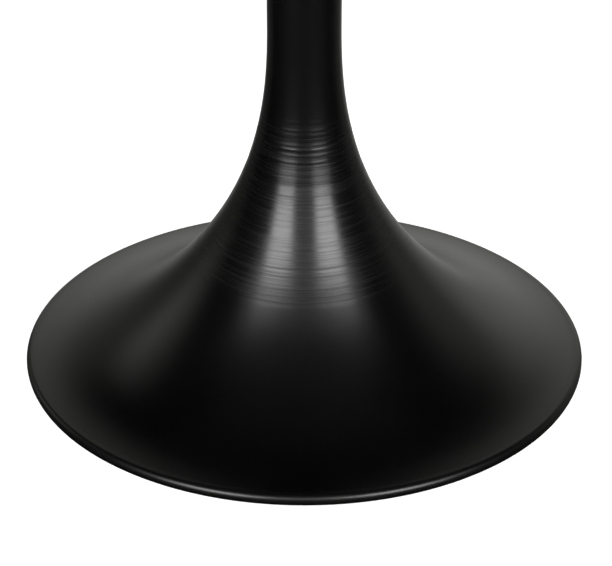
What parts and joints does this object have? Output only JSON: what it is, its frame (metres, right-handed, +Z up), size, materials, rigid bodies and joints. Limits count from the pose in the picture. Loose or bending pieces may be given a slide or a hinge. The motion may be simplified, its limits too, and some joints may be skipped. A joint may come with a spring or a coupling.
{
  "type": "round pedestal table",
  "caption": "Round table on a black spun steel trumpet pedestal that flares from a narrow waist into a wide rimmed base, with a slim metal-clad top and levelling feet.",
  "frame": {"origin": "centre of the circle on the floor that the feet stand on, under the table's axis", "axes": "+Z up along the column's axis; +X and +Y are horizontal, with the feet midway between them"},
  "size_m": [0.8999, 0.9, 0.75],
  "materials": {
    "base_lacquer": "satin black lacquer over spun steel, with fine rings from the spinning tool",
    "top_lacquer": "satin black lacquer over spun steel, fine concentric brushing",
    "plate_paint": "fine-textured black powder coat",
    "edge_rubber": "matt extruded rubber",
    "cast_iron": "sand-cast and dipped in dark primer",
    "bare_steel": "plain mill finish",
    "zinc_steel": "bright zinc plating",
    "black_zinc": "black zinc plating",
    "brass": "turned brass",
    "nylon": "natural nylon",
    "foot_nylon": "black moulded nylon with a fine grain",
    "board": "raw medium-density fibreboard"
  },
  "bodies": {
    "table": {"lower_trumpet": "base_lacquer", "rim_wire": "bare_steel", "rim_trim": "edge_rubber", "ballast": "cast_iron", "damping_ring": "edge_rubber", "column_tube": "bare_steel", "tie_rod": "zinc_steel", "rod_nut": "zinc_steel", "spring_washer": "zinc_steel", "rod_washer": "zinc_steel", "waist_sleeve": "nylon", "upper_trumpet": "base_lacquer", "mounting_plate": "plate_paint", "plate_spigot": "bare_steel", "plate_bolts": "black_zinc", "plate_washers": "black_zinc", "threaded_inserts": "brass", "top_core": "board", "top_skin": "top_lacquer", "top_backer": "plate_paint", "backer_screws": "black_zinc", "glide_lock_nuts": "zinc_steel"},
    "foot_1": {"glide_pad_1": "foot_nylon"},
    "foot_2": {"glide_pad_2": "foot_nylon"},
    "foot_3": {"glide_pad_3": "foot_nylon"},
    "foot_4": {"glide_pad_4": "foot_nylon"},
    "screw_1": {"glide_stud_1": "zinc_steel"},
    "screw_2": {"glide_stud_2": "zinc_steel"},
    "screw_3": {"glide_stud_3": "zinc_steel"},
    "screw_4": {"glide_stud_4": "zinc_steel"}
  },
  "joints": [
    {"name": "glide_1_extend", "type": "slide", "parent": "table", "child": "foot_1", "axis": [0, 0, -1], "range_m": [0, 0.008]},
    {"name": "glide_1_turn", "type": "hinge", "parent": "foot_1", "child": "screw_1", "pos_m": [0.14142, 0.14142, 0.02], "axis": [0, 0, -1], "range_deg": [0, 2304]},
    {"name": "glide_2_extend", "type": "slide", "parent": "table", "child": "foot_2", "axis": [0, 0, -1], "range_m": [0, 0.008]},
    {"name": "glide_2_turn", "type": "hinge", "parent": "foot_2", "child": "screw_2", "pos_m": [-0.14142, 0.14142, 0.02], "axis": [0, 0, -1], "range_deg": [0, 2304]},
    {"name": "glide_3_extend", "type": "slide", "parent": "table", "child": "foot_3", "axis": [0, 0, -1], "range_m": [0, 0.008]},
    {"name": "glide_3_turn", "type": "hinge", "parent": "foot_3", "child": "screw_3", "pos_m": [-0.14142, -0.14142, 0.02], "axis": [0, 0, -1], "range_deg": [0, 2304]},
    {"name": "glide_4_extend", "type": "slide", "parent": "table", "child": "foot_4", "axis": [0, 0, -1], "range_m": [0, 0.008]},
    {"name": "glide_4_turn", "type": "hinge", "parent": "foot_4", "child": "screw_4", "pos_m": [0.14142, -0.14142, 0.02], "axis": [0, 0, -1], "range_deg": [0, 2304]}
  ],
  "couplings": [
    {"joint": "glide_1_extend", "follows": "glide_1_turn", "m_per_rad": 0.00019894},
    {"joint": "glide_2_extend", "follows": "glide_2_turn", "m_per_rad": 0.00019894},
    {"joint": "glide_3_extend", "follows": "glide_3_turn", "m_per_rad": 0.00019894},
    {"joint": "glide_4_extend", "follows": "glide_4_turn", "m_per_rad": 0.00019894}
  ]
}
